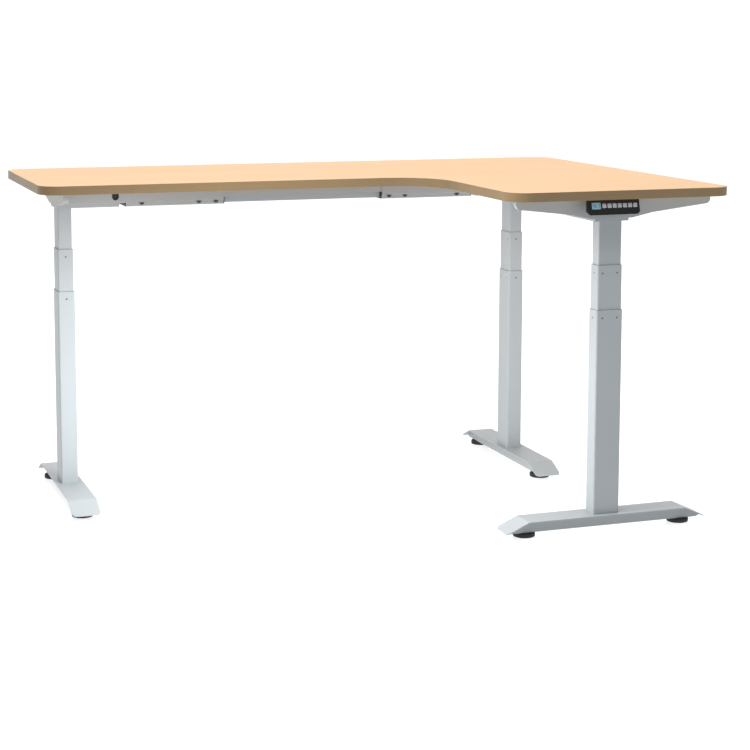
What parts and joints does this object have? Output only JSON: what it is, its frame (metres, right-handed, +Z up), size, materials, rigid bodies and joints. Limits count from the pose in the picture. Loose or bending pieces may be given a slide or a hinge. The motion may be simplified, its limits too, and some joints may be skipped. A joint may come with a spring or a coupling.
{
  "type": "height adjustable standing desk",
  "caption": "L-shaped electric sit-stand desk: laminated corner top on telescopic rectangular columns, bent-plate feet with levelling pads, telescoping steel beam, and a keypad under its edge.",
  "frame": {"origin": "on the floor, under the middle of the top's outline", "axes": "+X along the long back edge, +Y towards the back, +Z up; the user sits on the -Y side, in the notch of the L"},
  "size_m": [1.83, 1.26, 0.963],
  "materials": {
    "laminate": "satin beech laminate",
    "edge_band": "satin, darker beech edge band",
    "powder_coat": "fine-textured light grey powder coat",
    "screw_zinc": "black zinc plated",
    "black_plastic": "matte black moulding",
    "motor_black": "satin black",
    "machined_steel": "turned and ground",
    "glide_plastic": "moulded nylon",
    "pad_rubber": "moulded black",
    "handset_black": "satin black moulding",
    "readout": "pale blue window",
    "key_grey": "grey keys",
    "control_grey": "textured dark moulding"
  },
  "bodies": {
    "desk_top": {"worktop_board": "laminate", "edge_band": "edge_band", "board_screws": "screw_zinc", "rail_clamp_screws": "screw_zinc", "main_left_rail": "powder_coat", "main_right_rail": "powder_coat", "main_center_rail": "powder_coat", "return_front_rail": "powder_coat", "return_rear_rail": "powder_coat", "rail_end_caps": "black_plastic", "mains_inlet": "black_plastic", "control_box": "control_grey", "handset_case": "handset_black", "handset_display": "readout", "left_head": "powder_coat", "left_bracket": "powder_coat", "left_inner_tube": "powder_coat", "left_motor": "motor_black", "corner_head": "powder_coat", "corner_bracket": "powder_coat", "corner_inner_tube": "powder_coat", "corner_motor": "motor_black", "right_head": "powder_coat", "right_bracket": "powder_coat", "right_inner_tube": "powder_coat", "right_motor": "motor_black"},
    "left_middle_stage": {"left_mid_tube": "powder_coat", "left_mid_glides": "glide_plastic"},
    "left_lower_stage": {"left_outer_tube": "powder_coat", "left_outer_glides": "glide_plastic", "left_foot": "powder_coat", "left_lift_nut": "machined_steel"},
    "left_screw": {"left_spindle": "machined_steel"},
    "left_levelling_pad_a": {"left_pad_a": "pad_rubber"},
    "left_levelling_pad_b": {"left_pad_b": "pad_rubber"},
    "corner_middle_stage": {"corner_mid_tube": "powder_coat", "corner_mid_glides": "glide_plastic"},
    "corner_lower_stage": {"corner_outer_tube": "powder_coat", "corner_outer_glides": "glide_plastic", "corner_foot": "powder_coat", "corner_lift_nut": "machined_steel"},
    "corner_screw": {"corner_spindle": "machined_steel"},
    "corner_levelling_pad_a": {"corner_pad_a": "pad_rubber"},
    "corner_levelling_pad_b": {"corner_pad_b": "pad_rubber"},
    "right_middle_stage": {"right_mid_tube": "powder_coat", "right_mid_glides": "glide_plastic"},
    "right_lower_stage": {"right_outer_tube": "powder_coat", "right_outer_glides": "glide_plastic", "right_foot": "powder_coat", "right_lift_nut": "machined_steel"},
    "right_screw": {"right_spindle": "machined_steel"},
    "right_levelling_pad_a": {"right_pad_a": "pad_rubber"},
    "right_levelling_pad_b": {"right_pad_b": "pad_rubber"},
    "key_1": {"handset_button_1": "key_grey"},
    "key_2": {"handset_button_2": "key_grey"},
    "key_3": {"handset_button_3": "key_grey"},
    "key_4": {"handset_button_4": "key_grey"},
    "key_5": {"handset_button_5": "key_grey"},
    "key_6": {"handset_button_6": "key_grey"},
    "key_7": {"handset_button_7": "key_grey"}
  },
  "joints": [
    {"name": "left_upper_slide", "type": "slide", "parent": "desk_top", "child": "left_middle_stage", "axis": [0, 0, -1], "range_m": [-0.115, 0.135]},
    {"name": "left_lower_slide", "type": "slide", "parent": "left_middle_stage", "child": "left_lower_stage", "axis": [0, 0, -1], "range_m": [-0.115, 0.135]},
    {"name": "left_screw_turn", "type": "hinge", "parent": "desk_top", "child": "left_screw", "pos_m": [-0.798, 0.295, 0.874], "axis": [0, 0, 1], "range_deg": [-10351, 12151]},
    {"name": "left_pad_a_thread", "type": "slide", "parent": "left_lower_stage", "child": "left_levelling_pad_a", "axis": [0, 0, -1], "range_m": [0, 0.01]},
    {"name": "left_pad_b_thread", "type": "slide", "parent": "left_lower_stage", "child": "left_levelling_pad_b", "axis": [0, 0, -1], "range_m": [0, 0.01]},
    {"name": "corner_upper_slide", "type": "slide", "parent": "desk_top", "child": "corner_middle_stage", "axis": [0, 0, -1], "range_m": [-0.115, 0.135]},
    {"name": "corner_lower_slide", "type": "slide", "parent": "corner_middle_stage", "child": "corner_lower_stage", "axis": [0, 0, -1], "range_m": [-0.115, 0.135]},
    {"name": "corner_screw_turn", "type": "hinge", "parent": "desk_top", "child": "corner_screw", "pos_m": [0.647, 0.295, 0.874], "axis": [0, 0, 1], "range_deg": [-10351, 12151]},
    {"name": "corner_pad_a_thread", "type": "slide", "parent": "corner_lower_stage", "child": "corner_levelling_pad_a", "axis": [0, 0, -1], "range_m": [0, 0.01]},
    {"name": "corner_pad_b_thread", "type": "slide", "parent": "corner_lower_stage", "child": "corner_levelling_pad_b", "axis": [0, 0, -1], "range_m": [0, 0.01]},
    {"name": "right_upper_slide", "type": "slide", "parent": "desk_top", "child": "right_middle_stage", "axis": [0, 0, -1], "range_m": [-0.115, 0.135]},
    {"name": "right_lower_slide", "type": "slide", "parent": "right_middle_stage", "child": "right_lower_stage", "axis": [0, 0, -1], "range_m": [-0.115, 0.135]},
    {"name": "right_screw_turn", "type": "hinge", "parent": "desk_top", "child": "right_screw", "pos_m": [0.562, -0.55, 0.874], "axis": [0, 0, 1], "range_deg": [-10351, 12151]},
    {"name": "right_pad_a_thread", "type": "slide", "parent": "right_lower_stage", "child": "right_levelling_pad_a", "axis": [0, 0, -1], "range_m": [0, 0.01]},
    {"name": "right_pad_b_thread", "type": "slide", "parent": "right_lower_stage", "child": "right_levelling_pad_b", "axis": [0, 0, -1], "range_m": [0, 0.01]},
    {"name": "key_1_press", "type": "slide", "parent": "desk_top", "child": "key_1", "axis": [0, 0.9659, -0.2588], "range_m": [0, 0.0008], "stiffness_N_per_m": 1200, "springref_m": -0.0004},
    {"name": "key_2_press", "type": "slide", "parent": "desk_top", "child": "key_2", "axis": [0, 0.9659, -0.2588], "range_m": [0, 0.0008], "stiffness_N_per_m": 1200, "springref_m": -0.0004},
    {"name": "key_3_press", "type": "slide", "parent": "desk_top", "child": "key_3", "axis": [0, 0.9659, -0.2588], "range_m": [0, 0.0008], "stiffness_N_per_m": 1200, "springref_m": -0.0004},
    {"name": "key_4_press", "type": "slide", "parent": "desk_top", "child": "key_4", "axis": [0, 0.9659, -0.2588], "range_m": [0, 0.0008], "stiffness_N_per_m": 1200, "springref_m": -0.0004},
    {"name": "key_5_press", "type": "slide", "parent": "desk_top", "child": "key_5", "axis": [0, 0.9659, -0.2588], "range_m": [0, 0.0008], "stiffness_N_per_m": 1200, "springref_m": -0.0004},
    {"name": "key_6_press", "type": "slide", "parent": "desk_top", "child": "key_6", "axis": [0, 0.9659, -0.2588], "range_m": [0, 0.0008], "stiffness_N_per_m": 1200, "springref_m": -0.0004},
    {"name": "key_7_press", "type": "slide", "parent": "desk_top", "child": "key_7", "axis": [0, 0.9659, -0.2588], "range_m": [0, 0.0008], "stiffness_N_per_m": 1200, "springref_m": -0.0004}
  ],
  "couplings": [
    {"joint": "left_lower_slide", "follows": "left_upper_slide", "ratio": 1},
    {"joint": "left_screw_turn", "follows": "left_upper_slide", "rad_per_m": 1570.8},
    {"joint": "corner_upper_slide", "follows": "left_upper_slide", "ratio": 1},
    {"joint": "corner_lower_slide", "follows": "left_upper_slide", "ratio": 1},
    {"joint": "corner_screw_turn", "follows": "left_upper_slide", "rad_per_m": 1570.8},
    {"joint": "right_upper_slide", "follows": "left_upper_slide", "ratio": 1},
    {"joint": "right_lower_slide", "follows": "left_upper_slide", "ratio": 1},
    {"joint": "right_screw_turn", "follows": "left_upper_slide", "rad_per_m": 1570.8}
  ]
}
